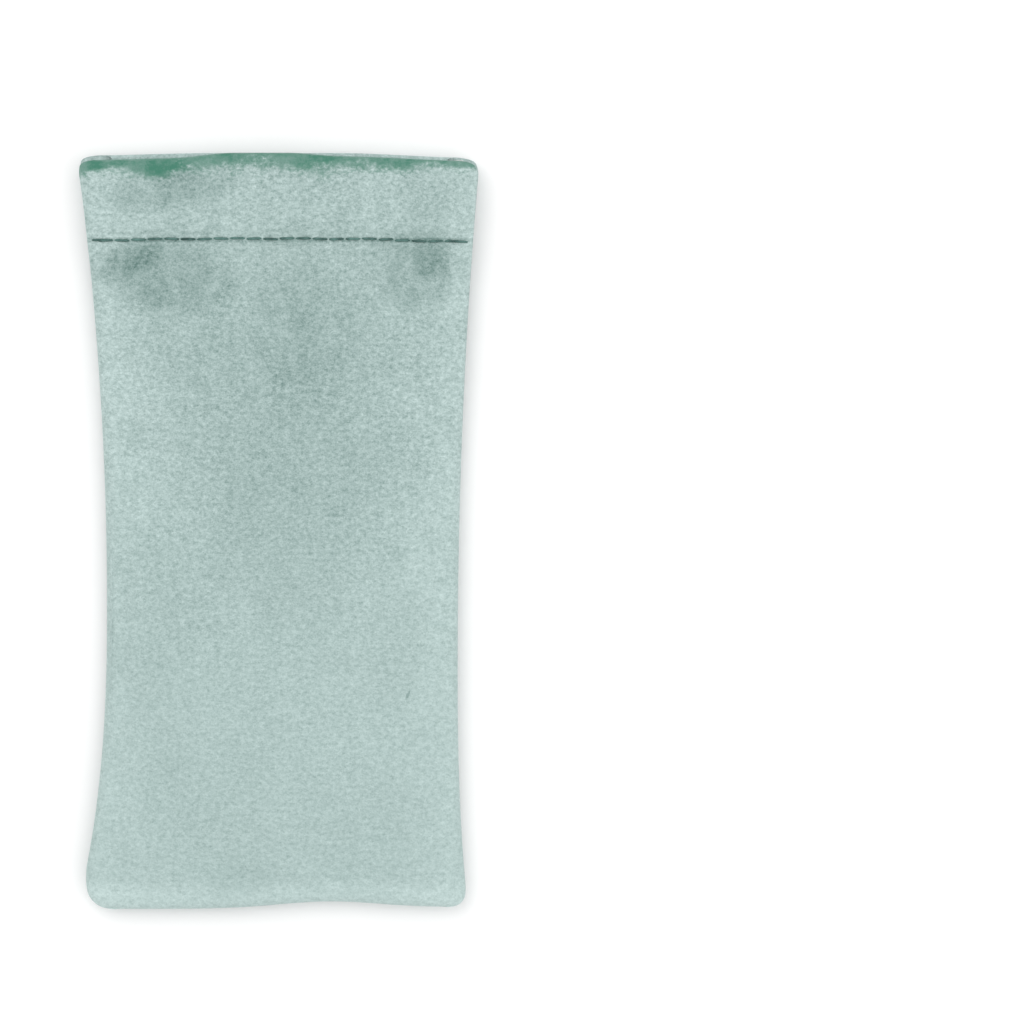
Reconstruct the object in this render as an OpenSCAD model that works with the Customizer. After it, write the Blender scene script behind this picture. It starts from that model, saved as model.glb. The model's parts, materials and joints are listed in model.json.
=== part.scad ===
// Soft pouch glasses case: two velvet faces with a lining, sewn along the sides and the
// base, with a hinged pair of sprung steel leaves in the casings along the mouth.
// The case lies on its back: +Y runs to the mouth, +Z out of the front face, and the
// origin is under the middle of the back face.
// Each face folds as three panels: a middle one that widens to the base, and two wings.

/* [Pouch] */
// Length from the base seam to the rim of the mouth
pouch_l = 170; // [160:1:180]
// Width across the mouth, where the frame holds it out
mouth_w = 90; // [88:0.5:93]
// Width at the waist, where the cloth pulls in
waist_w = 79; // [78:0.5:81]
// Width near the base
base_w = 85.4; // [84:0.2:87]
// Thickness of the closed pouch, lying empty
pouch_t = 9.2; // [9:0.1:12]
// Radius of the two base corners
base_corner_r = 5; // [3:0.5:8]
// Radius of the two mouth corners
mouth_corner_r = 3; // [1.5:0.5:4]

/* [Cloth] */
// Thickness of the velvet, pile included
velvet_t = 1.4; // [1:0.1:1.6]
// Thickness of the lining
lining_t = 0.6; // [0.3:0.1:0.7]
// Width of the turned-in seam along the sides and the base
seam_w = 3; // [2.5:0.1:3.4]
// Thickness of that seam
seam_t = 4.4; // [3.6:0.1:4.4]

/* [Casing] */
// Height of the casing, from its stitching to the rim
casing_h = 19.5; // [19:0.5:22]
// Thickness of one casing
casing_t = 3.2; // [3:0.1:3.4]

/* [Spring frame] */
// Height of each steel leaf
leaf_h = 14; // [12:0.5:14]
// Thickness of the steel
leaf_t = 0.4; // [0.3:0.05:0.5]
// Radius of the two hinge pins
pin_r = 0.7; // [0.5:0.05:0.8]
// Outer radius of the barrels rolled at the ends of each leaf
barrel_r = 1.6; // [1.5:0.05:1.7]
// Distance from the middle of the mouth to each hinge pin
pin_x = 40.2; // [40:0.1:40.6]

/* [Folds] */
// Half width of the middle panels, level with the pins' middle
middle_half_w = 8; // [6:0.5:10]
// Gap between panels at a fold
fold_gap = 0.3; // [0.2:0.05:0.5]

/* [Stitching] */
// Distance from one stitch to the next
stitch_pitch = 3.7; // [3.4:0.1:4.4]
// Length of a stitch that shows
stitch_l = 3.1; // [2:0.1:3.2]
// Radius of the sewing thread
thread_r = 0.2; // [0.15:0.01:0.25]

/* [Hidden] */

$fn = 48;
thread_sides = 6;       // a thread is drawn as a six-sided bar
edge_steps = 14;        // points along a curved side

velvet = "#9fbfb5";
velvet_dark = "#5f9a86";
lining = "#c9d3cd";
thread = "#2f5f59";
steel = "#b9bdc0";

mid_z = pouch_t / 2;                  // plane where the two casings meet
top_y = pouch_l / 2;
base_y = -pouch_l / 2;
waist_y = -20;                        // where the pouch is narrowest
mouth_corner_y = top_y - mouth_corner_r;
base_corner_y = -75;                  // where the base reaches its full width
hinge_y = base_y + 3.2;               // line that the front face turns about
casing_y = top_y - casing_h;
leaf_y = casing_y + casing_h / 2;     // middle of the leaves' height
leaf_z = barrel_r - leaf_t / 2;       // from the meeting plane to the middle of a leaf
mouth_gap = 0.3;                      // between the two closed casings

wing_y = -58;                         // where a wing becomes wide enough to cut
wing_inset = 4;                       // from the outer edge to a wing's panel
wing_limit = pin_x - 2.2;             // a wing's panel stays this far in, to swing past the seam
casing_limit = pin_x - 2.4;           // a casing stays clear of the barrels
corner_gap = 0.3;                     // between the base seam and a side seam
rim_seam_w = 1.8;                     // the side seam thins beside the barrels
play = 0.6;                           // round a leaf inside its casing
pivot_play = 0.55;                    // open clearance of the front barrels on the pins
fixed_play = 0.05;                    // the back barrels hold the pins
knuckle_gap = 0.4;                    // between neighbouring barrels
barrel_l = (leaf_h - 2 * knuckle_gap) / 3;
pin_over = 0.4;                       // how far a pin passes the barrels
pin_head_r = 1.2;
pin_head_t = 0.5;
thread_lift = 0.02;                   // keeps a stitch just off its cloth
casing_stitch_y = casing_y + 0.9;
stitch_margin = 0.8;                  // from a fold or an edge to the nearest stitch

// Half the pouch's width at a height y: widest at the mouth, then the base, with a waist between
function half_w(y) =
    y > waist_y
    ? waist_w / 2 + (mouth_w - waist_w) / 2 * pow((y - waist_y) / (mouth_corner_y - waist_y), 2)
    : waist_w / 2 + (base_w - waist_w) / 2 * pow((waist_y - y) / (waist_y - base_corner_y), 3);

// The mouth corners are rounded off this outline
function corner_cut(y) =
    y > mouth_corner_y ? mouth_corner_r - sqrt(pow(mouth_corner_r, 2) - pow(y - mouth_corner_y, 2)) : 0;
function outer_x(y) = half_w(min(y, mouth_corner_y)) - corner_cut(y);

// Distance of a fold from the centre line: it runs from the base corner to the mouth
fold_slope = (pin_x - middle_half_w) / (leaf_y - hinge_y);
function fold_x(y) = pin_x - (y - hinge_y) * fold_slope;

function steps(a, b) = [for (i = [0:edge_steps]) a + (b - a) * i / edge_steps];

// Puts a right-hand, front piece on either side and on either face
module placed(side, face) {
    mirror([side == "left" ? 1 : 0, 0, 0])
        translate([0, 0, face == "back" ? pouch_t : 0])
            mirror([0, 0, face == "back" ? 1 : 0])
                children();
}

// A flat piece of the middle panel, from height y0 to y1
module middle_piece(y0, y1, z0, t) {
    half_gap = fold_gap / 2;
    translate([0, 0, z0])
        linear_extrude(t)
            polygon([
                [-fold_x(y0) + half_gap, y0], [fold_x(y0) - half_gap, y0],
                [fold_x(y1) - half_gap, y1], [-fold_x(y1) + half_gap, y1]
            ]);
}

// A flat piece of a wing, from the fold out to its limit
module wing_piece(y0, y1, z0, t, limit) {
    outer = [for (y = steps(y0, y1)) [min(half_w(y) - wing_inset, limit), y]];
    inner = [[fold_x(y1) + fold_gap / 2, y1], [fold_x(y0) + fold_gap / 2, y0]];
    translate([0, 0, z0])
        linear_extrude(t)
            polygon(concat(outer, inner));
}

panel_z = pouch_t - velvet_t;
lining_z = panel_z - lining_t;
casing_z = mid_z + mouth_gap / 2;
panel_end_y = casing_y - corner_gap;
panel_start_y = hinge_y + 0.5;

module middle_panel(face) {
    color(velvet) placed("right", face) middle_piece(panel_start_y, panel_end_y, panel_z, velvet_t);
}

module wing_panel(side, face) {
    color(velvet) placed(side, face) wing_piece(wing_y, panel_end_y, panel_z, velvet_t, wing_limit);
}

module middle_lining(face) {
    color(lining) placed("right", face) middle_piece(panel_start_y, panel_end_y, lining_z, lining_t);
}

module wing_lining(side, face) {
    color(lining) placed(side, face) wing_piece(wing_y, panel_end_y, lining_z, lining_t, wing_limit);
}

// The channel that a leaf lies in, right through a casing
module channel() {
    translate([-mouth_w, leaf_y - leaf_h / 2 - play, mid_z + leaf_z - leaf_t / 2 - play / 2])
        cube([2 * mouth_w, leaf_h + 2 * play, leaf_t + play]);
}

module middle_casing(face) {
    color(velvet_dark)
        placed("right", face)
            difference() {
                middle_piece(casing_y, top_y, casing_z, casing_t);
                channel();
            }
}

module wing_casing(side, face) {
    color(velvet_dark)
        placed(side, face)
            difference() {
                translate([0, 0, casing_z])
                    linear_extrude(casing_t)
                        polygon([
                            [fold_x(casing_y) + fold_gap / 2, casing_y], [casing_limit, casing_y],
                            [casing_limit, top_y], [fold_x(top_y) + fold_gap / 2, top_y]
                        ]);
                channel();
            }
}

module middle_leaf(face) {
    color(steel)
        placed("right", face)
            middle_piece(leaf_y - leaf_h / 2, leaf_y + leaf_h / 2, mid_z + leaf_z - leaf_t / 2, leaf_t);
}

// Where the barrels lie along a pin: the front leaf has the middle one, the back leaf the other two
function barrel_starts(face) =
    face == "front" ? [leaf_y - barrel_l / 2] : [leaf_y - leaf_h / 2, leaf_y + leaf_h / 2 - barrel_l];

// A wing's steel leaf, with its barrels rolled round the hinge pin
module wing_leaf(side, face) {
    bore_r = pin_r + (face == "front" ? pivot_play : fixed_play);
    low_y = leaf_y - leaf_h / 2;
    high_y = leaf_y + leaf_h / 2;
    color(steel)
        placed(side, face)
            difference() {
                union() {
                    translate([0, 0, mid_z + leaf_z - leaf_t / 2])
                        linear_extrude(leaf_t)
                            polygon([
                                [fold_x(low_y) + fold_gap / 2, low_y], [casing_limit, low_y],
                                [casing_limit, high_y], [fold_x(high_y) + fold_gap / 2, high_y]
                            ]);
                    for (start = barrel_starts(face)) {
                        translate([casing_limit - 1, start, mid_z + leaf_z - leaf_t / 2])
                            cube([pin_x - casing_limit + 1, barrel_l, leaf_t]);
                        along_pin(start, barrel_l) circle(r = barrel_r);
                    }
                }
                along_pin(low_y - 1, leaf_h + 2) circle(r = bore_r);
            }
}

// Extrudes a flat shape along the hinge pin's axis
module along_pin(start, length) {
    translate([pin_x, start + length, mid_z])
        rotate([90, 0, 0])
            linear_extrude(length)
                children();
}

module hinge_pin(side) {
    shank_y = leaf_y - leaf_h / 2 - pin_over;
    shank_l = leaf_h + 2 * pin_over;
    color(steel)
        placed(side, "front")
            union() {
                along_pin(shank_y, shank_l) circle(r = pin_r);
                along_pin(shank_y + shank_l, pin_head_t) circle(r = pin_head_r);
            }
}

// The turned-in edges along a side, which thin out beside the hinge
module side_seam(side) {
    start_y = base_corner_y + corner_gap;
    outer = [for (y = concat(steps(start_y, mouth_corner_y), steps(mouth_corner_y, top_y))) [outer_x(y), y]];
    inner = [for (y = steps(casing_y, start_y)) [half_w(y) - seam_w, y]];
    rim_inner = [for (y = steps(mouth_corner_y, casing_y)) [half_w(y) - rim_seam_w, y]];
    color(velvet)
        placed(side, "front")
            translate([0, 0, mid_z - seam_t / 2])
                linear_extrude(seam_t)
                    polygon(concat(outer, rim_inner, inner));
}

// The turned-in edge along the base, with its rounded corners
module base_seam() {
    half = base_w / 2;
    color(velvet)
        translate([0, 0, mid_z - seam_t / 2])
            linear_extrude(seam_t)
                difference() {
                    union() {
                        translate([-half + base_corner_r, base_y])
                            square([base_w - 2 * base_corner_r, base_corner_y - base_y]);
                        translate([-half, base_y + base_corner_r])
                            square([base_w, base_corner_y - base_y - base_corner_r]);
                        for (side = [-1, 1])
                            translate([side * (half - base_corner_r), base_y + base_corner_r])
                                circle(r = base_corner_r);
                    }
                    translate([-half + seam_w, base_y + seam_w])
                        square([base_w - 2 * seam_w, pouch_l]);
                }
}

// One stitch that shows, lying along X
module stitch() {
    rotate([90, 0, 90])
        cylinder(r = thread_r, h = stitch_l, center = true, $fn = thread_sides);
}

// A row of stitches along X, centred between two edges
module stitch_row(x0, x1, y, z) {
    count = floor((x1 - x0 - 2 * stitch_margin) / stitch_pitch);
    first = (x0 + x1) / 2 - (count - 1) / 2 * stitch_pitch;
    for (i = [0:count - 1])
        translate([first + i * stitch_pitch, y, z])
            stitch();
}

casing_stitch_z = casing_z + casing_t + thread_r + thread_lift;
seam_stitch_z = mid_z + seam_t / 2 + thread_r + thread_lift;

module middle_casing_stitches(face) {
    edge = fold_x(casing_stitch_y);
    color(thread) placed("right", face) stitch_row(-edge, edge, casing_stitch_y, casing_stitch_z);
}

module wing_casing_stitches(side, face) {
    color(thread)
        placed(side, face)
            stitch_row(fold_x(casing_stitch_y), casing_limit, casing_stitch_y, casing_stitch_z);
}

module side_stitches(side) {
    start_y = base_corner_y + 2;
    count = floor((casing_y - start_y) / stitch_pitch);
    color(thread)
        placed(side, "front")
            for (i = [0:count - 1]) {
                y = start_y + (i + 0.5) * stitch_pitch;
                translate([half_w(y) - seam_w / 2, y, seam_stitch_z])
                    rotate([0, 0, 90])
                        stitch();
            }
}

module base_stitches() {
    reach = base_w / 2 - base_corner_r;
    color(thread) stitch_row(-reach, reach, base_y + seam_w / 2, seam_stitch_z);
}

middle_panel("back");  // back_panel_middle
wing_panel("left", "back");  // back_panel_left
wing_panel("right", "back");  // back_panel_right
middle_lining("back");  // back_lining_middle
wing_lining("left", "back");  // back_lining_left
wing_lining("right", "back");  // back_lining_right
middle_casing("back");  // back_casing_middle
wing_casing("left", "back");  // back_casing_left
wing_casing("right", "back");  // back_casing_right
middle_leaf("back");  // back_leaf_middle
wing_leaf("left", "back");  // back_leaf_left
wing_leaf("right", "back");  // back_leaf_right
middle_casing_stitches("back");  // back_casing_stitches_middle
wing_casing_stitches("left", "back");  // back_casing_stitches_left
wing_casing_stitches("right", "back");  // back_casing_stitches_right
middle_panel("front");  // front_panel_middle
wing_panel("left", "front");  // front_panel_left
wing_panel("right", "front");  // front_panel_right
middle_lining("front");  // front_lining_middle
wing_lining("left", "front");  // front_lining_left
wing_lining("right", "front");  // front_lining_right
middle_casing("front");  // front_casing_middle
wing_casing("left", "front");  // front_casing_left
wing_casing("right", "front");  // front_casing_right
middle_leaf("front");  // front_leaf_middle
wing_leaf("left", "front");  // front_leaf_left
wing_leaf("right", "front");  // front_leaf_right
middle_casing_stitches("front");  // front_casing_stitches_middle
wing_casing_stitches("left", "front");  // front_casing_stitches_left
wing_casing_stitches("right", "front");  // front_casing_stitches_right
hinge_pin("left");  // left_hinge_pin
hinge_pin("right");  // right_hinge_pin
side_seam("left");  // left_side_seam
side_seam("right");  // right_side_seam
base_seam();
side_stitches("left");  // left_side_stitches
side_stitches("right");  // right_side_stitches
base_stitches();
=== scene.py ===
import json
import math

import bpy
from mathutils import Matrix, Vector, noise


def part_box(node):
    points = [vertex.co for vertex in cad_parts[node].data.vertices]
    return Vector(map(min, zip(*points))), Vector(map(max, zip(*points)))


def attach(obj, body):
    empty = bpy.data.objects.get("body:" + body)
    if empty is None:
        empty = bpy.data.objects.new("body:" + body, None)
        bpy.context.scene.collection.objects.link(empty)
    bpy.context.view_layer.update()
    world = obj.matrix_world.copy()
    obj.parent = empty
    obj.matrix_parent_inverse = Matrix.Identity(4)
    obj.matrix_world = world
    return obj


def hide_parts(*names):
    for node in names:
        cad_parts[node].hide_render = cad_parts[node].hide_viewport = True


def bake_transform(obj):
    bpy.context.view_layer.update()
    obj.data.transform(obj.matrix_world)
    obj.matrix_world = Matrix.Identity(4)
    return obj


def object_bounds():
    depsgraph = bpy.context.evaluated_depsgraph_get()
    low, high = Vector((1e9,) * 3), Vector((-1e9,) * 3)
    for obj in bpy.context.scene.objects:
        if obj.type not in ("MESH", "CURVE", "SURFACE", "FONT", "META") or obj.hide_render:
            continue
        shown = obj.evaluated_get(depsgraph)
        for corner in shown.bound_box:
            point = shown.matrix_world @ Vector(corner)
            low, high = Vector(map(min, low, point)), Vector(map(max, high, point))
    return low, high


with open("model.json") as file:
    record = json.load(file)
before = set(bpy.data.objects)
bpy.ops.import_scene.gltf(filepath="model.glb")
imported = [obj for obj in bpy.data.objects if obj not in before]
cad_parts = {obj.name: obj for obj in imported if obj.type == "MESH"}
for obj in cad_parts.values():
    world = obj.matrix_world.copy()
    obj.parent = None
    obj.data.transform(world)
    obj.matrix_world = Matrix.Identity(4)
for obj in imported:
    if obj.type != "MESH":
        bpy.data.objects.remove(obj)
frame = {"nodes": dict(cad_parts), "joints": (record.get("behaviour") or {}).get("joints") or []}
cadLow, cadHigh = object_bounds()
print("frame loaded:", len(frame["nodes"]), "nodes")

mm = 0.001
midZ = (cadLow.z + cadHigh.z) / 2
rimY = cadHigh.y
baseY = cadLow.y
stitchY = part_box("front_casing_middle")[0].y       # the casing's stitching
pinLow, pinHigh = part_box("left_hinge_pin")
pinX = -(pinLow.x + pinHigh.x) / 2
jointOf = {joint["name"]: joint for joint in frame["joints"]}

# the outline: half widths at the waist, the base and the mouth, with the two corners of each side
sideShape = {
    "left": {"waist": 38.8 * mm, "base": 43.4 * mm, "mouth": 44.9 * mm, "baseCorner": 5.6 * mm,
             "mouthCorner": 2.2 * mm, "waistY": -16 * mm, "fullBaseY": -76 * mm},
    "right": {"waist": 40.1 * mm, "base": 41.9 * mm, "mouth": 44.8 * mm, "baseCorner": 3.4 * mm,
              "mouthCorner": 3.2 * mm, "waistY": -30 * mm, "fullBaseY": -80 * mm},
}
signOf = {"left": -1, "right": 1, "front": 1, "back": -1}

# the velvet face, from the base seam to the flap inside the casing
cover = {
    "pile": 1.1 * mm,               # thickness of the velvet
    "edgeHeight": 2.0 * mm,         # how high the cloth stands just inside a seam
    "edgeRoll": 4.2 * mm,           # how far in the roll over the side seam reaches
    "baseRoll": 3.6 * mm,
    "lap": 1.15,                    # how far in the back's edge lies for each part that it laps
    "endHeight": 1.9 * mm,          # at the casing's ends the two edges stand apart, round the hinge
    "crown": 2.4 * mm,              # more height in the middle of the belly
    "casingHeight": 3.1 * mm,
    "rimRadius": 1.5 * mm,
    "flapGap": 0.16 * mm,           # the inner flap, from the plane where the casings meet
    "flapLimit": pinX - 2.6 * mm,   # the flap stops short of the hinge
    "flapLow": stitchY + 0.4 * mm,
    "ease": 0.35 * mm,              # how softly the belly comes to the surface that it lies on
    "grooveDepth": 1.25 * mm,
    "grooveWidth": 1.1 * mm,
    "columns": 30,
    "rollSteps": 8,
    "baseSteps": 8,
    "rimSteps": 10,
    "bellyStep": 1.75 * mm,
    "grooveStep": 0.42 * mm,
    "casingStep": 1.3 * mm,
    "flapStep": 1.7 * mm,
}


def smoothStep(low, high, value):
    t = min(max((value - low) / (high - low), 0.0), 1.0)
    return t * t * (3 - 2 * t)


def bell(value, centre, width):
    return math.exp(-((value - centre) / width) ** 2)


def halfWidth(side, y):
    # widest at the mouth, narrow at the waist, and out again to the base, with the corners rounded off
    shape = sideShape[side]
    if y > shape["waistY"]:
        part = (y - shape["waistY"]) / (rimY - 3 * mm - shape["waistY"])
        width = shape["waist"] + (shape["mouth"] - shape["waist"]) * min(part, 1.0) ** 2
    else:
        part = min((shape["waistY"] - y) / (shape["waistY"] - shape["fullBaseY"]), 1.0)
        width = shape["waist"] + (shape["base"] - shape["waist"]) * part ** 2.6
    for corner, depth in ((shape["mouthCorner"], y - rimY), (shape["baseCorner"], baseY - y)):
        into = corner + depth
        if into > 0:
            width -= corner - math.sqrt(max(corner ** 2 - into ** 2, 0.0))
    return width


def restYOf(face, x, y):
    # the rim droops a little to its ends, and the base edge lifts off a straight line.
    # The front's rim stands lower than the back's, but for a short stretch where they meet
    x = x / mm
    droop = 1.1 * mm * smoothStep(12, 45, x) + 0.55 * mm * smoothStep(14, 44, -x)
    lift = 1.7 * mm * bell(x, 12, 17) + 0.35 * mm * smoothStep(20, 42, x)
    top = smoothStep(stitchY - 20 * mm, rimY, y)
    bottom = smoothStep(baseY + 34 * mm, baseY, y)
    lower = (0.15 + 1.05 * smoothStep(-10, -24, x) + 0.75 * smoothStep(2, 14, x)) * mm
    if face == "front":
        y = y - lower * smoothStep(stitchY + 8 * mm, rimY - 2 * mm, y)
    return y - droop * (0.35 + 0.65 * top) * smoothStep(0, stitchY, y) + lift * bottom


clothRun = {"scale": 10.0, "columns": 44, "rows": 76, "frames": 26, "lift": 1.2 * mm, "ripple": 0.5 * mm}
clothStuff = {
    "quality": 8, "mass": 0.3,
    "tension_stiffness": 25, "compression_stiffness": 25, "shear_stiffness": 12, "bending_stiffness": 0.6,
    "tension_damping": 12, "bending_damping": 2,
    "shrink_min": -0.012,                            # a little slack
    "use_pressure": True, "uniform_pressure_force": 0.32,
}
bellySpan = (baseY + cover["baseRoll"], stitchY - 1.2 * mm)


def clothField(face, seed):
    # one face of the bag, held at its seams and at the casing, filled out by a light pressure.
    # It gives the height of the belly, from 0 at the seams to about 1 in the middle
    low, high = bellySpan
    columns, rows = clothRun["columns"], clothRun["rows"]
    big = clothRun["scale"]
    bpy.ops.object.select_all(action="DESELECT")
    bpy.ops.mesh.primitive_grid_add(x_subdivisions=columns, y_subdivisions=rows, size=2)
    blank = bpy.context.object
    blank.name = "clothBlank_" + face
    held = blank.vertex_groups.new(name="held")
    rough = Vector((seed * 7.31, seed * 3.17, 0))
    for v in blank.data.vertices:
        s, t = v.co.x, (v.co.y + 1) / 2
        y = low + (high - low) * t
        side = "left" if s < 0 else "right"
        x = abs(s) * (halfWidth(side, y) - cover["edgeRoll"]) * signOf[side]
        ripple = noise.noise(Vector((x, y, 0)) * 55 + rough) * clothRun["ripple"]
        edge = max(abs(s), abs(v.co.y))
        lift = (1 - edge ** 6) * (clothRun["lift"] + ripple)
        if edge > 0.999:
            held.add([v.index], 1.0, "REPLACE")
        v.co = Vector((x, y, lift)) * big
    start = [v.co.z for v in blank.data.vertices]
    bpy.ops.object.modifier_add(type="CLOTH")
    cloth = blank.modifiers[-1]
    cloth.settings.vertex_group_mass = "held"
    for key, value in clothStuff.items():
        setattr(cloth.settings, key, value)
    cloth.settings.effector_weights.gravity = 0
    cloth.point_cache.frame_start = 1
    cloth.point_cache.frame_end = clothRun["frames"]
    for step in range(1, clothRun["frames"] + 1):
        bpy.context.scene.frame_set(step)
    bpy.ops.object.modifier_apply(modifier=cloth.name)
    bpy.context.scene.frame_set(1)
    heights = [v.co.z for v in blank.data.vertices]
    top = sorted(heights)[int(len(heights) * 0.97)]
    field = [[0.0] * (columns + 1) for _ in range(rows + 1)]
    for index, height in enumerate(heights):
        row, column = divmod(index, columns + 1)
        field[row][column] = math.tanh(1.25 * height / top) / math.tanh(1.25)
    print(face, "cloth: highest", round(top / big / mm, 2), "mm, from", round(max(start) / big / mm, 2))
    bpy.data.objects.remove(blank)
    return field


def fieldAt(field, s, y):
    low, high = bellySpan
    rows, columns = len(field) - 1, len(field[0]) - 1
    v = min(max((y - low) / (high - low), 0.0), 1.0) * rows
    u = min(max((s + 1) / 2, 0.0), 1.0) * columns
    row, column = min(int(v), rows - 1), min(int(u), columns - 1)
    v, u = v - row, u - column
    near = field[row][column] * (1 - u) + field[row][column + 1] * u
    far = field[row + 1][column] * (1 - u) + field[row + 1][column + 1] * u
    return near * (1 - v) + far * v


# hollows where the belly leaves the flat casing: middle, reach across and down, and lean
hollows = [
    {"x": -31, "y": 58, "across": 7.0, "down": 5.5, "leanAcross": 0.5, "leanDown": -0.35, "depth": 0.85},
    {"x": 31, "y": 56, "across": 6.0, "down": 7.0, "leanAcross": -0.5, "leanDown": 0.4, "depth": 0.8},
    {"x": 3, "y": 48, "across": 11.7, "down": 12.0, "leanAcross": 0.0, "leanDown": 0.0, "depth": 0.3},
]


def dents(face, x, y):
    # soft rolls across the cloth, and the hollows; the back's hollows are the front's, mirrored
    x, y = x / mm, y / mm
    if face == "back":
        x = -x
    height = 0.22 * noise.noise(Vector((x * 0.035, y * 0.022, 4.1 + signOf[face])))
    height += 0.10 * noise.noise(Vector((x * 0.11, y * 0.07, 9.4 + signOf[face])))
    for hollow in hollows:
        overX, overY = x - hollow["x"], y - hollow["y"]
        across = bell(overX * 0.9 + overY * hollow["leanAcross"], 0, hollow["across"])
        down = bell(overY + overX * hollow["leanDown"], 0, hollow["down"])
        height -= hollow["depth"] * across * down
    return height * mm


def bellyHeight(face, field, side, part, x, y):
    # height of the outside of a face over the plane where the casings meet, inside the rolled edge
    s = part * signOf[side]
    inBelly = smoothStep(baseY, baseY + 9 * mm, y) * smoothStep(stitchY + 1 * mm, stitchY - 9 * mm, y)
    edge = 1 - part ** 5
    height = cover["edgeHeight"] + cover["crown"] * fieldAt(field, s, y)
    height += dents(face, x, y) * inBelly * edge
    ends = smoothStep(stitchY - 14 * mm, stitchY, y)
    height += (cover["casingHeight"] - cover["edgeHeight"]) * 0.75 * ends * edge
    easeFrom = midZ - 0.05 * mm - cover["ease"]
    if height > easeFrom:
        height = easeFrom + cover["ease"] * math.tanh((height - easeFrom) / cover["ease"])
    return height


stitch = {
    "pitch": 3.7 * mm, "length": 3.35 * mm, "radius": 0.27 * mm, "sink": 0.32 * mm,
    "count": 20,                    # places tried on each side; those past the edge are left out
    "endGap": 1.1 * mm,             # from the last stitch to the pouch's edge
    "wobble": math.radians(2.6),
}


def grooveAt(x, y, side):
    # the stitching pulls the cloth down, most at each needle hole
    hole = 0.5 + 0.5 * math.cos(2 * math.pi * x / stitch["pitch"])
    wander = 0.12 * mm * math.sin(x / mm * 0.33 + signOf[side])
    depth = cover["grooveDepth"] * (0.78 + 0.22 * hole)
    return depth * bell(y, stitchY + wander, cover["grooveWidth"])


def coverRows():
    # where the cloth runs, from the base seam over the belly and the casing, round the rim and down inside
    rows = []
    for k in range(cover["baseSteps"]):
        a = math.pi / 2 * k / cover["baseSteps"]
        rows.append(("base", baseY + cover["baseRoll"] * (1 - math.cos(a)), math.sin(a)))
    y = baseY + cover["baseRoll"]
    while y < stitchY - 3 * mm:
        rows.append(("belly", y, 1.0))
        y += cover["bellyStep"]
    y = stitchY - 2.9 * mm
    while y < stitchY + 3 * mm:
        rows.append(("groove", y, 1.0))
        y += cover["grooveStep"]
    radius = cover["rimRadius"]
    while y < rimY - radius - 0.8 * mm:
        rows.append(("casing", y, 1.0))
        y += cover["casingStep"]
    for k in range(cover["rimSteps"] + 1):
        a = math.pi * k / cover["rimSteps"]
        rows.append(("rim", rimY - radius + radius * math.sin(a), math.cos(a)))
    y = rimY - radius - 1.2 * mm
    while y > cover["flapLow"]:
        rows.append(("flap", y, 0.0))
        y -= cover["flapStep"]
    return rows


def edgeStand(side, y):
    # height of a face's edge over the middle plane. Inside the hinge line the two edges lap a little,
    # so that the seam stays shut when the mouth opens; outside it they stand clear
    past = halfWidth(side, y) - pinX
    shut = smoothStep(34 * mm, 22 * mm, y) * smoothStep(baseY + 1 * mm, baseY + 12 * mm, y)
    low = (0.4 + 0.4 * shut) * min(past, 0.0) - 0.15 * mm * shut + 0.04 * mm * (1 - shut)
    low += 0.3 * max(past, 0.0) * smoothStep(0, 30 * mm, y)
    return low + (cover["endHeight"] - low) * smoothStep(stitchY - 9 * mm, stitchY + 1.5 * mm, y)


def coverPoint(face, field, side, kind, y, share, part, angle):
    # part runs from 0 at the middle to 1 where the edge roll starts; angle goes round the roll,
    # and share round the base or the rim
    reach = halfWidth(side, min(y, rimY - 0.02 * mm))
    roll = min(cover["edgeRoll"], reach * 0.5)
    x = (reach - roll) * part if part < 1 else reach - roll + roll * math.sin(angle)
    turn = 1.0 if part < 1 else math.cos(angle)
    if kind in ("rim", "flap"):
        low, high = cover["flapGap"], cover["casingHeight"]
        around = share if kind == "rim" else -1.0
        curl = (low + high) / 2 + (high - low) / 2 * around
        outside = cover["endHeight"] + (high - cover["endHeight"]) * turn
        over = smoothStep(-0.2, 1.0, around)
        height = max(curl * (1 - over) + min(curl, outside) * over, low)
        inward = smoothStep(1.0, -1.0, around)
        x = x * (1 - inward) + x * cover["flapLimit"] / reach * inward
    else:
        bend = bellyHeight(face, field, side, min(part, 1.0), x * signOf[side], y)
        if y > stitchY:
            casing = cover["casingHeight"] - 0.25 * mm * bell(y, stitchY + 2.5 * mm, 3 * mm)
            bend = bend + (casing - bend) * smoothStep(stitchY, stitchY + 2.6 * mm, y)
            bend += 0.09 * mm * noise.noise(Vector((x * signOf[side] * 90, y * 120, signOf[face])))
        low = edgeStand(side, y)
        bend = max(bend - grooveAt(x, y, side) * turn, low + 0.6 * mm)
        if kind == "base":
            bend = max(bend * share, low * share, 0.04 * mm)
        height = low + (bend - low) * turn
        if face == "back" and height < 0:              # the back's edge lies inside the front's
            x += cover["lap"] * height
    return x * signOf[side], restYOf(face, x * signOf[side], y), height


def coverColumns():
    inner = [(i / cover["columns"], 0.0) for i in range(cover["columns"])]
    rolled = [(1.0, math.pi / 2 * k / cover["rollSteps"]) for k in range(cover["rollSteps"] + 1)]
    return inner + rolled


def gridPiece(name, rows, columns, place, flip):
    # a grid primitive, added at the right number of cells, with each corner put where the cloth runs
    bpy.ops.object.select_all(action="DESELECT")
    bpy.ops.mesh.primitive_grid_add(x_subdivisions=len(columns) - 1, y_subdivisions=len(rows) - 1, size=1)
    piece = bpy.context.object
    piece.name = name
    for index, v in enumerate(piece.data.vertices):
        row, column = divmod(index, len(columns))
        v.co = place(rows[row], columns[column])
    if flip:
        bpy.ops.object.mode_set(mode="EDIT")
        bpy.ops.mesh.select_all(action="SELECT")
        bpy.ops.mesh.flip_normals()
        bpy.ops.object.mode_set(mode="OBJECT")
    return piece


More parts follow.
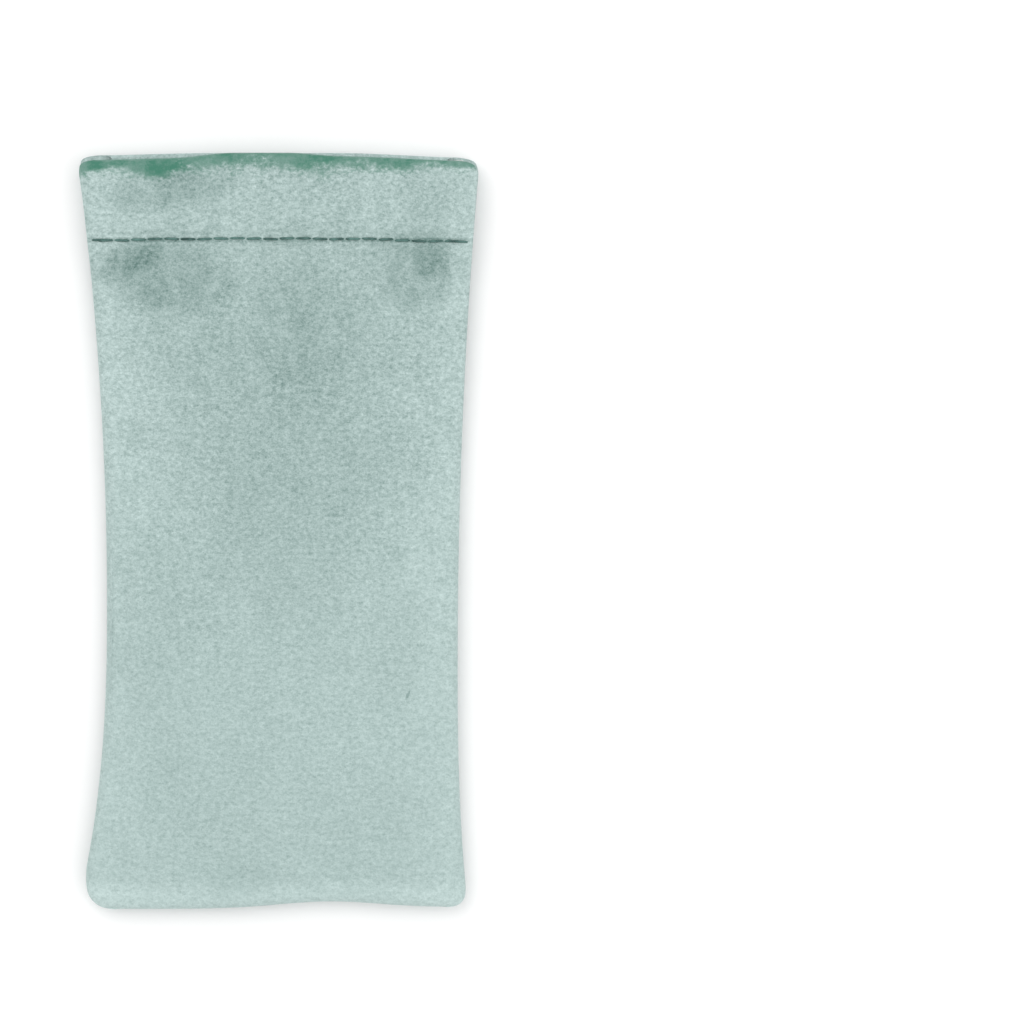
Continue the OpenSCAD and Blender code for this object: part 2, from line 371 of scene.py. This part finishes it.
def finishWith(piece, kind, **settings):
    bpy.ops.object.select_all(action="DESELECT")
    bpy.context.view_layer.objects.active = piece
    piece.select_set(True)
    bpy.ops.object.modifier_add(type=kind)
    modifier = piece.modifiers[-1]
    for key, value in settings.items():
        setattr(modifier, key, value)
    bpy.ops.object.modifier_apply(modifier=modifier.name)


def closeOnMiddle(piece):
    # both halves' cut edges are put on the same middle plane
    for v in piece.data.vertices:
        if abs(v.co.x) < 0.2 * mm:
            v.co.x = 0


def markRest(piece):
    # where each point lies at rest, so that the pattern stays on the cloth when it bends
    places = piece.data.attributes.new("restPlace", "FLOAT_VECTOR", "POINT")
    for point, v in zip(places.data, piece.data.vertices):
        point.vector = v.co


def smoothShade(piece, degrees=42):
    bpy.ops.object.select_all(action="DESELECT")
    bpy.context.view_layer.objects.active = piece
    piece.select_set(True)
    bpy.ops.object.shade_smooth_by_angle(angle=math.radians(degrees))


def bendWith(piece, face, side):
    # marks where each point lies at rest and bakes the piece's placement into its mesh; the fold joint's
    # axis and an outward direction are worked out, but nothing uses them
    markRest(piece)
    joint = jointOf[face + "_" + side + "_fold"]
    axis = Vector(joint["axis"])
    outward = axis.cross(Vector((0, 0, 1))).normalized()
    outward *= signOf[side] * (1 if outward.x > 0 else -1)
    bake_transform(piece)


def zOf(face, height):
    return midZ + signOf[face] * height


def makeCover(face, side, field):
    def place(row, column):
        kind, y, share = row
        x, y, height = coverPoint(face, field, side, kind, y, share, column[0], column[1])
        return Vector((x, y, zOf(face, height)))
    piece = gridPiece("velvet_" + face + "_" + side, coverRows(), coverColumns(), place,
                      flip=signOf[face] * signOf[side] < 0)
    finishWith(piece, "SUBSURF", levels=1, render_levels=1)
    finishWith(piece, "SOLIDIFY", thickness=cover["pile"], offset=-1, use_even_offset=False)
    closeOnMiddle(piece)
    smoothShade(piece)
    piece.data.materials.clear()
    piece.data.materials.append(velvet)
    bendWith(piece, face, side)
    names = [face + "_panel_" + side, face + "_casing_" + side]
    if side == "left":
        names += [face + "_panel_middle", face + "_casing_middle"]
    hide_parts(*names)
    return piece


liningSheet = {"under": 0.15 * mm, "thick": 0.4 * mm, "inset": 4.3 * mm, "low": 6.2 * mm, "top": 1.6 * mm,
               "pinGap": 0.7 * mm, "rows": 84, "columns": 26}


def makeLining(face, side, field):
    low, high = baseY + liningSheet["low"], stitchY + liningSheet["top"]
    rows = [low + (high - low) * i / liningSheet["rows"] for i in range(liningSheet["rows"] + 1)]
    columns = [i / liningSheet["columns"] for i in range(liningSheet["columns"] + 1)]

    def place(y, part):
        reach = min(halfWidth(side, y) - liningSheet["inset"], pinX - liningSheet["pinGap"])
        x = reach * part * signOf[side]
        coverPart = min(part * reach / (halfWidth(side, y) - cover["edgeRoll"]), 0.999)
        outside = coverPoint(face, field, side, "belly", y, 1.0, coverPart, 0)[2]
        height = outside - cover["pile"] - liningSheet["under"]
        height *= 1 - 0.72 * smoothStep(0.86, 1.0, part)
        height *= smoothStep(baseY, baseY + 7 * mm, y) * 0.8 + 0.2
        return Vector((x, restYOf(face, x, y), zOf(face, max(height, 0.5 * mm))))
    piece = gridPiece("lining_" + face + "_" + side, rows, columns, place,
                      flip=signOf[face] * signOf[side] < 0)
    finishWith(piece, "SUBSURF", levels=1, render_levels=1)
    finishWith(piece, "SOLIDIFY", thickness=liningSheet["thick"], offset=-1, use_even_offset=False)
    closeOnMiddle(piece)
    smoothShade(piece)
    piece.data.materials.clear()
    piece.data.materials.append(liningCloth)
    bendWith(piece, face, side)
    names = [face + "_lining_" + side]
    if side == "left":
        names.append(face + "_lining_middle")
    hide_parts(*names)
    return piece


def placedCopy(source, place):
    copy = source.copy()
    copy.data = source.data.copy()
    bpy.context.collection.objects.link(copy)
    copy.data.transform(place)
    return copy


def joined(name, parts):
    bpy.ops.object.select_all(action="DESELECT")
    for part in parts:
        part.select_set(True)
    bpy.context.view_layer.objects.active = parts[0]
    bpy.ops.object.join()
    whole = bpy.context.object
    whole.name = name
    bpy.ops.object.transform_apply(location=True, rotation=True, scale=True)
    return whole


def stitchModel(length, radius, sink):
    # one thread stitch: a rod, its two ends bent down into the needle holes
    bpy.ops.object.select_all(action="DESELECT")
    bpy.ops.mesh.primitive_cylinder_add(vertices=8, radius=radius, depth=length, end_fill_type="TRIFAN",
                                        rotation=(0, math.pi / 2, 0))
    bpy.ops.object.transform_apply(location=False, rotation=True, scale=False)
    rod = bpy.context.object
    rod.name = "stitchModel"
    bpy.ops.object.mode_set(mode="EDIT")
    cuts = 8
    for i in range(1, cuts):
        bpy.ops.mesh.select_all(action="SELECT")
        bpy.ops.mesh.bisect(plane_co=(length * (i / cuts - 0.5), 0, 0), plane_no=(1, 0, 0))
    bpy.ops.object.mode_set(mode="OBJECT")
    for v in rod.data.vertices:
        along = abs(v.co.x) / (length / 2)
        thin = math.sqrt(max(1 - (0.93 * along) ** 6, 0.02))
        v.co.y *= thin
        v.co.z = v.co.z * thin - sink * along ** 4
    bpy.ops.object.shade_smooth()
    return rod


def seatHeight(face, side, x):
    # height of the cloth where the casing's stitches lie
    reach = halfWidth(side, stitchY)
    part = min(x / (reach - cover["edgeRoll"]), 1.0)
    into = max(x - (reach - cover["edgeRoll"]), 0.0) / cover["edgeRoll"]
    angle = math.asin(min(into, 1.0))
    if part < 1:
        return coverPoint(face, fields[face], side, "groove", stitchY, 1.0, part, 0)[2]
    return coverPoint(face, fields[face], side, "groove", stitchY, 1.0, 1.0, angle)[2]


def makeCasingStitches(face, side):
    model = stitchModel(stitch["length"], stitch["radius"], stitch["sink"])
    parts = []
    reach = halfWidth(side, stitchY) - stitch["endGap"]
    places = [(i + 0.5) * stitch["pitch"] for i in range(stitch["count"])]
    places = [x for x in places if x + stitch["length"] / 2 < reach]
    places.append(reach - stitch["length"] / 2)      # the row ends with a stitch sewn back over
    for i, x in enumerate(places):
        near = seatHeight(face, side, x - stitch["length"] / 3)
        far = seatHeight(face, side, x + stitch["length"] / 3)
        height = (near + far) / 2 + stitch["radius"] * 0.75
        tilt = math.atan2(far - near, stitch["length"] * 2 / 3)
        across = x * signOf[side]
        wobble = stitch["wobble"] * math.sin(i * 2.1 + signOf[side])
        y = restYOf(face, across, stitchY) + 0.10 * mm * math.sin(i * 1.3 + signOf[side])
        turn = Matrix.Rotation(0 if face == "front" else math.pi, 4, "X")
        lean = Matrix.Rotation(-tilt * signOf[side] * signOf[face], 4, "Y")
        place = Matrix.Translation((across, y, zOf(face, height))) @ lean
        place = place @ Matrix.Rotation(wobble, 4, "Z") @ turn
        parts.append(placedCopy(model, place))
    bpy.data.objects.remove(model)
    piece = joined("casing_stitches_" + face + "_" + side, parts)
    piece.data.materials.clear()
    piece.data.materials.append(thread)
    bendWith(piece, face, side)
    names = [face + "_casing_stitches_" + side]
    if side == "left":
        names.append(face + "_casing_stitches_middle")
    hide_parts(*names)
    return piece


seam = {"inside": 3.0 * mm, "halfHeight": 0.5 * mm, "edgeGap": 1.2 * mm, "ring": 12,
        "low": baseY + 8.5 * mm, "top": 66.5 * mm, "sidePoints": 56,
        "baseGap": 2.8 * mm, "baseReach": 34.5 * mm, "basePoints": 44}
seamStitch = {"pitch": 3.0 * mm, "length": 2.4 * mm, "radius": 0.16 * mm, "sink": 0.2 * mm}


def seamBand(name, path, body, node):
    # the turned-in edges of both faces, sewn together: a flat rounded band along the path
    rows = list(range(len(path)))
    columns = list(range(seam["ring"] + 1))

    def place(row, column):
        here = path[row]
        after = path[min(row + 1, len(path) - 1)] - path[max(row - 1, 0)]
        inward = Vector((-after.y, after.x, 0)).normalized()
        turn = 2 * math.pi * (column % seam["ring"]) / seam["ring"]
        end = min(row, len(path) - 1 - row)
        taper = 0.35 + 0.65 * math.sqrt(min(end / 3, 1.0))
        across = inward * (seam["inside"] / 2 * math.cos(turn) * taper)
        ripple = 1 + 0.10 * math.sin(row * 0.9)
        return here + across + Vector((0, 0, seam["halfHeight"] * math.sin(turn) * taper * ripple))
    piece = gridPiece(name, rows, columns, place, flip=False)
    bpy.ops.object.mode_set(mode="EDIT")
    bpy.ops.mesh.select_all(action="SELECT")
    bpy.ops.mesh.remove_doubles(threshold=0.01 * mm)
    bpy.ops.mesh.select_all(action="DESELECT")
    bpy.ops.mesh.select_non_manifold()
    bpy.ops.mesh.edge_face_add()
    bpy.ops.mesh.select_all(action="SELECT")
    bpy.ops.mesh.normals_make_consistent(inside=False)
    bpy.ops.object.mode_set(mode="OBJECT")
    smoothShade(piece, 60)
    piece.data.materials.clear()
    piece.data.materials.append(velvet)
    markRest(piece)
    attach(piece, body)
    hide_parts(node)
    return piece


def sidePath(side):
    points = []
    for i in range(seam["sidePoints"]):
        y = seam["low"] + (seam["top"] - seam["low"]) * i / (seam["sidePoints"] - 1)
        x = (halfWidth(side, y) - seam["edgeGap"] - seam["inside"] / 2) * signOf[side]
        points.append(Vector((x, restYOf("back", x, y), midZ)))
    return points


def basePath():
    points = []
    y = baseY + seam["baseGap"] + seam["inside"] / 2
    for i in range(seam["basePoints"]):
        x = seam["baseReach"] * (2 * i / (seam["basePoints"] - 1) - 1)
        points.append(Vector((x, restYOf("back", x, y), midZ)))
    return points


def seamStitches(name, path, body, node):
    # the closing seam's own thread, lying on the turned-in edges
    model = stitchModel(seamStitch["length"], seamStitch["radius"], seamStitch["sink"])
    parts = []
    step = max(int(seamStitch["pitch"] / (path[1] - path[0]).length + 0.5), 1)
    for face in ("front", "back"):
        for i in range(step, len(path) - step, step):
            along = (path[i + 1] - path[i - 1]).normalized()
            turn = Matrix.Rotation(math.atan2(along.y, along.x), 4, "Z")
            flip = Matrix.Rotation(0 if face == "front" else math.pi, 4, "X")
            seat = path[i] + Vector((0, 0, signOf[face] * (seam["halfHeight"] * 0.93 + 0.05 * mm)))
            parts.append(placedCopy(model, Matrix.Translation(seat) @ turn @ flip))
    bpy.data.objects.remove(model)
    piece = joined(name, parts)
    piece.data.materials.clear()
    piece.data.materials.append(thread)
    markRest(piece)
    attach(piece, body)
    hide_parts(node)
    return piece


class Wire:
    # a shader value that can be added, multiplied and so on, each step a Math node
    def __init__(self, tree, socket):
        self.tree, self.socket = tree, socket

    def math(self, operation, *others, first=None):
        node = self.tree.nodes.new("ShaderNodeMath")
        node.operation = operation
        for slot, value in zip(node.inputs, (self if first is None else first,) + others):
            plug(self.tree, slot, value)
        return Wire(self.tree, node.outputs[0])

    def __add__(self, other):
        return self.math("ADD", other)

    def __radd__(self, other):
        return self.math("ADD", self, first=other)

    def __sub__(self, other):
        return self.math("SUBTRACT", other)

    def __rsub__(self, other):
        return self.math("SUBTRACT", self, first=other)

    def __mul__(self, other):
        return self.math("MULTIPLY", other)

    def __rmul__(self, other):
        return self.math("MULTIPLY", self, first=other)

    def __truediv__(self, other):
        return self.math("DIVIDE", other)

    def __rtruediv__(self, other):
        return self.math("DIVIDE", self, first=other)

    def ramp(self, low, high):
        # 0 below low, 1 above high, smooth between; low may be the larger one
        return addNode(self.tree, "ShaderNodeMapRange", {"interpolation_type": "SMOOTHSTEP"},
                       Value=self, From_Min=low, From_Max=high)


def plug(tree, slot, value):
    if isinstance(value, Wire):
        tree.links.new(value.socket, slot)
    else:
        slot.default_value = value


def addNode(tree, kind, settings=None, out=0, **values):
    node = tree.nodes.new(kind)
    for key, value in (settings or {}).items():
        setattr(node, key, value)
    for key, value in values.items():
        name = key.replace("_", " ")
        slots = [s for s in node.inputs if s.name == name and s.enabled]
        plug(tree, slots[0], value)
    return Wire(tree, node.outputs[out])


def mixColour(tree, share, first, second):
    node = tree.nodes.new("ShaderNodeMix")
    node.data_type = "RGBA"
    plug(tree, node.inputs[0], share)
    plug(tree, node.inputs[6], first)
    plug(tree, node.inputs[7], second)
    return Wire(tree, node.outputs[2])


def restPlaces(tree):
    return addNode(tree, "ShaderNodeAttribute", {"attribute_name": "restPlace"}, out=1)


def axesOf(tree, where):
    split = tree.nodes.new("ShaderNodeSeparateXYZ")
    plug(tree, split.inputs[0], where)
    return [Wire(tree, output) for output in split.outputs]


def stretched(tree, where, scale):
    return addNode(tree, "ShaderNodeMapping", Vector=where, Scale=scale)


def noiseOf(tree, where, scale, detail=2.0, rough=0.5, distort=0.0):
    return addNode(tree, "ShaderNodeTexNoise", Vector=where, Scale=scale, Detail=detail, Roughness=rough,
                   Distortion=distort)


def waveOf(tree, along, pitch):
    return addNode(tree, "ShaderNodeMath", {"operation": "SINE"}, Value=along * (2 * math.pi / pitch))


def bumpOf(tree, shader, height, strength, distance):
    bump = addNode(tree, "ShaderNodeBump", Height=height, Strength=strength, Distance=distance)
    plug(tree, shader.inputs["Normal"], bump)


def newMaterial(name):
    material = bpy.data.materials.new(name)
    material.use_nodes = True
    tree = material.node_tree
    shader = tree.nodes["Principled BSDF"]
    return material, tree, shader


def patchAt(x, y, patch):
    # as much as the patch's depth in its middle, 0 outside it; the patch may lean
    u = (x - patch["x"]) * math.cos(patch["lean"]) + (y - patch["y"]) * math.sin(patch["lean"])
    v = (y - patch["y"]) * math.cos(patch["lean"]) - (x - patch["x"]) * math.sin(patch["lean"])
    u = u / patch["wide"]
    v = v / patch["high"]
    return (u * u + v * v).ramp(1.0, 0.0) * patch["depth"]


def patchesAt(x, y, patches):
    total = patchAt(x, y, patches[0])
    for patch in patches[1:]:
        total = total + patchAt(x, y, patch)
    return total


def patchOf(x, y, wide, high, lean, depth):
    # places and sizes in millimetres
    return {"x": x * mm, "y": y * mm, "wide": wide * mm, "high": high * mm, "lean": lean, "depth": depth}


pile = {
    "shade": (0.060, 0.138, 0.120, 1), "light": (0.600, 0.728, 0.712, 1), "range": 1.8, "level": 0.565,
    "sheen": 0.30, "sheenTint": (0.86, 0.95, 0.93, 1),
    # painted sheen on the rolled edges and the base
    "edgeSheen": 0.13, "baseSheen": 0.20,
    "bump": 0.7, "bumpDepth": 0.5 * mm,
    # darker under the casing's corners, near its ends and once by the base: painted shade in the hollows,
    # mixed with patches of pile laid over
    "shadeAndLaidPile": [
        patchOf(-34.5, 60.4, 11, 4.6, 0.3, 0.58), patchOf(-25, 57, 19, 11, -0.15, 0.85),
        patchOf(32, 57.8, 8.5, 11.5, -0.25, 0.66), patchOf(-8, -78.5, 10, 5, 0.2, 0.26),
        patchOf(31, 60, 14, 12, 0.0, 0.55), patchOf(34, 76, 10, 9, -0.4, 0.42),
        patchOf(-24, 77, 19, 6, 0.15, 0.85),
    ],
    # a fainter shade down the upper middle
    "middle": [
        patchOf(2, 26, 30, 52, 0.0, 1.0), patchOf(6, 44, 14, 22, 0.0, 0.8),
        patchOf(-22, 42, 18, 12, -0.5, 0.5),
    ],
    "nick": patchOf(28.9, -36.9, 1.5, 0.45, 1.15, 0.5),
    # painted shade along the groove of the casing's stitches
    "stitchShadeY": 65.2 * mm, "stitchShadeWidth": 0.7 * mm, "stitchShade": 0.34,
}
# painted shade along the rolled rim, deeper at the left corner
rimShade = {"green": (0.060, 0.200, 0.142, 1), "from": 79.3 * mm, "full": 83.2 * mm,
             "ragged": 11 * mm, "speckled": 5 * mm, "deeper": patchOf(-37, 81, 17, 9, 0.0, 1.9 * mm)}


def velvetTone(x, y, z, nap, patches, streaks, mottle, grain):
    # the pile is rougher toward the mouth, where it is handled
    rough = y.ramp(-60 * mm, 40 * mm) * 0.65 + 1.25
    laid = y.ramp(-70 * mm, 30 * mm) * 0.6 + 0.4
    tone = ((nap - 0.5) * 0.50 + (patches - 0.5) * 0.34 + (streaks - 0.5) * 0.12) * laid
    tone = tone + ((mottle - 0.5) * 0.98 + (grain - 0.5) * 0.50) * rough
    # lighter along the rolled edges and the base, a painted sheen; and a little lighter towards the bottom
    across = x * (1 / (40 * mm))
    tone = tone + (across * across).ramp(0.40, 1.05) * pile["edgeSheen"]
    tone = tone + y.ramp(-77 * mm, -82 * mm) * pile["baseSheen"] + y.ramp(20 * mm, -60 * mm) * 0.03
    loose = ((patches - 0.5) * 3.2 + (nap - 0.5) * 1.4 + (mottle - 0.5) * 1.2 + 0.62).ramp(0.0, 1.0)
    # painted shade in the hollows by the casing's corners, mixed with laid pile
    tone = tone - patchesAt(x, y, pile["shadeAndLaidPile"]) * (loose * 0.46 + 0.08)
    tone = tone - patchesAt(x, y, pile["middle"]) * (loose * 0.20 + 0.02)
    tone = tone - patchAt(x, y, pile["nick"])
    # painted shade in the groove along the casing's stitches, on the front
    off = y - pile["stitchShadeY"]
    stitchShade = (off * off).ramp(pile["stitchShadeWidth"] ** 2, 0.0) * z.ramp(midZ, midZ + 0.5 * mm)
    return tone - stitchShade * pile["stitchShade"]


def velvetMaterial():
    material, tree, shader = newMaterial("velvet")
    where = restPlaces(tree)
    x, y, z = axesOf(tree, where)
    nap = noiseOf(tree, stretched(tree, where, (1.0, 0.6, 1.0)), 46, 4.0, 0.58, 0.8)
    patches = noiseOf(tree, stretched(tree, where, (1.0, 0.8, 1.0)), 150, 5.0, 0.66, 0.5)
    streaks = noiseOf(tree, stretched(tree, where, (1.0, 0.14, 1.0)), 480, 2.0, 0.5)
    mottle = noiseOf(tree, stretched(tree, where, (0.8, 1.1, 1.0)), 1150, 3.0, 0.72)
    grain = noiseOf(tree, where, 2900, 2.0, 0.6)
    tone = velvetTone(x, y, z, nap, patches, streaks, mottle, grain)
    colour = mixColour(tree, tone / pile["range"] + pile["level"], pile["shade"], pile["light"])

    # painted shade along the crease of the rim: a deeper green, its lower border uneven
    ragged = noiseOf(tree, stretched(tree, where, (0.7, 1.0, 1.0)), 120, 5.0, 0.7)
    line = y - (ragged - 0.5) * rimShade["ragged"] - (mottle - 0.5) * rimShade["speckled"]
    line = line + patchAt(x, y, rimShade["deeper"])
    rim = line.ramp(rimShade["from"], rimShade["full"]) * z.ramp(midZ + 0.2 * mm, midZ + 1.9 * mm)
    rim = rim * (0.86 + (patches - 0.5) * 1.2 + (mottle - 0.5) * 0.9)
    colour = mixColour(tree, rim, colour, rimShade["green"])
    plug(tree, shader.inputs["Base Color"], colour)
    plug(tree, shader.inputs["Roughness"], 0.80 + (mottle - 0.5) * 0.3)
    shader.inputs["Specular IOR Level"].default_value = 0.12
    shader.inputs["Sheen Weight"].default_value = pile["sheen"]
    shader.inputs["Sheen Roughness"].default_value = 0.45
    shader.inputs["Sheen Tint"].default_value = pile["sheenTint"]
    fibres = (mottle - 0.5) * 0.5 + (grain - 0.5) * 0.35 + (streaks - 0.5) * 0.2 + (patches - 0.5) * 0.5
    bumpOf(tree, shader, fibres, pile["bump"], pile["bumpDepth"])
    return material


weaving = {"pitch": 0.55 * mm, "dark": (0.34, 0.42, 0.40, 1), "pale": (0.50, 0.58, 0.56, 1)}


def liningMaterial():
    material, tree, shader = newMaterial("lining")
    where = restPlaces(tree)
    x, y = axesOf(tree, where)[:2]
    weave = waveOf(tree, x, weaving["pitch"]) * waveOf(tree, y, weaving["pitch"])
    slub = noiseOf(tree, stretched(tree, where, (1.0, 0.1, 1.0)), 700, 2.0, 0.5)
    colour = mixColour(tree, weave * 0.22 + slub * 0.5 + 0.2, weaving["dark"], weaving["pale"])
    plug(tree, shader.inputs["Base Color"], colour)
    plug(tree, shader.inputs["Roughness"], 0.62 + weave * 0.06)
    shader.inputs["Sheen Weight"].default_value = 0.1
    bumpOf(tree, shader, weave * 0.5 + slub * 0.3, 0.4, 0.08 * mm)
    return material


# dark green thread, painted darker as if in shadow, with painted highlights of a paler teal
twine = {"pitch": 0.42 * mm, "dark": (0.016, 0.050, 0.044, 1), "highlit": (0.110, 0.225, 0.200, 1)}


def threadMaterial():
    material, tree, shader = newMaterial("thread")
    where = restPlaces(tree)
    x, y = axesOf(tree, where)[:2]
    ply = waveOf(tree, x + y * 0.9, twine["pitch"])
    fuzz = noiseOf(tree, where, 2600, 2.0, 0.6)
    # where the painted highlights fall on the thread
    highlit = noiseOf(tree, where, 420, 2.0, 0.6)
    share = ply * 0.2 + fuzz * 0.4 + (highlit - 0.5) * 2.2 + 0.28
    plug(tree, shader.inputs["Base Color"], mixColour(tree, share, twine["dark"], twine["highlit"]))
    plug(tree, shader.inputs["Roughness"], 0.72 + fuzz * 0.15)
    bumpOf(tree, shader, ply * 0.5 + fuzz * 0.4, 0.5, 0.08 * mm)
    return material


steel = {"dark": (0.50, 0.50, 0.49, 1), "bright": (0.66, 0.66, 0.65, 1)}


def steelMaterial():
    material, tree, shader = newMaterial("springSteel")
    where = addNode(tree, "ShaderNodeTexCoord", out=3)
    brush = noiseOf(tree, stretched(tree, where, (0.03, 1.0, 1.0)), 2600, 3.0, 0.6)
    tarnish = noiseOf(tree, where, 90, 3.0, 0.6)
    plug(tree, shader.inputs["Base Color"], mixColour(tree, tarnish, steel["dark"], steel["bright"]))
    shader.inputs["Metallic"].default_value = 1.0
    plug(tree, shader.inputs["Roughness"], 0.24 + brush * 0.22)
    bumpOf(tree, shader, brush, 0.2, 0.02 * mm)
    return material


def floorMaterial():
    material, tree, shader = newMaterial("floor")
    shader.inputs["Base Color"].default_value = (0.93, 0.93, 0.93, 1)
    shader.inputs["Roughness"].default_value = 0.9
    shader.inputs["Specular IOR Level"].default_value = 0.1
    return material


velvet = velvetMaterial()
liningCloth = liningMaterial()
thread = threadMaterial()
springSteel = steelMaterial()
print("materials made")

fields = {"front": clothField("front", 3), "back": clothField("back", 8)}
print("cloth settled")

for faceName in ("front", "back"):
    for sideName in ("left", "right"):
        outer = makeCover(faceName, sideName, fields[faceName])
        inner = makeLining(faceName, sideName, fields[faceName])
        makeCasingStitches(faceName, sideName)
        print("made", faceName, sideName)

for sideName in ("left", "right"):
    bodyName = "back_" + sideName
    line = sidePath(sideName)
    seamBand(sideName + "_side_seam_band", line, bodyName, sideName + "_side_seam")
    seamStitches(sideName + "_side_seam_thread", line, bodyName, sideName + "_side_stitches")
seamBand("base_seam_band", basePath(), "back_middle", "base_seam")
seamStitches("base_seam_thread", basePath(), "back_middle", "base_stitches")
print("seams made")

for nodeName, node in frame["nodes"].items():
    if "leaf" in nodeName or "hinge_pin" in nodeName:
        node.data.materials.clear()
        node.data.materials.append(springSteel)

studio = {
    "lights": [
        {"name": "keyLight", "place": (-0.45, 0.65, 1.4), "size": 1.6, "power": 10.5},
        {"name": "fillLight", "place": (0.8, -0.45, 1.3), "size": 1.6, "power": 7},
    ],
    "sky": 0.77,
    "cameraHeight": 1.25,
    "spread": 230.1 * mm,           # how wide the picture is at the pouch's middle height
    "aim": (52.3 * mm, 4.2 * mm),
    "sensor": 36,
}

bpy.ops.mesh.primitive_plane_add(size=6, location=(0, 0, cadLow.z - 0.05 * mm))
floor = bpy.context.object
floor.name = "studioFloor"
floor.data.materials.append(floorMaterial())

for light in studio["lights"]:
    bpy.ops.object.light_add(type="AREA", location=light["place"])
    lamp = bpy.context.object
    lamp.name = light["name"]
    lamp.data.size = light["size"]
    lamp.data.energy = light["power"]
    lamp.rotation_euler = (-Vector(light["place"])).to_track_quat("-Z", "Y").to_euler()

world = bpy.data.worlds.new("studioWorld")
world.use_nodes = True
sky = world.node_tree.nodes["Background"]
sky.inputs["Color"].default_value = (1, 1, 1, 1)
sky.inputs["Strength"].default_value = studio["sky"]
bpy.context.scene.world = world
bpy.context.scene.view_settings.view_transform = "Standard"

bpy.ops.object.camera_add(location=(*studio["aim"], cadHigh.z + studio["cameraHeight"]))
lens = bpy.context.object
lens.name = "sceneCamera"
lens.data.sensor_width = studio["sensor"]
lens.data.lens = studio["sensor"] * (studio["cameraHeight"] + cadHigh.z - midZ) / studio["spread"]
lens.data.clip_end = 20
bpy.context.scene.camera = lens
print("studio set")
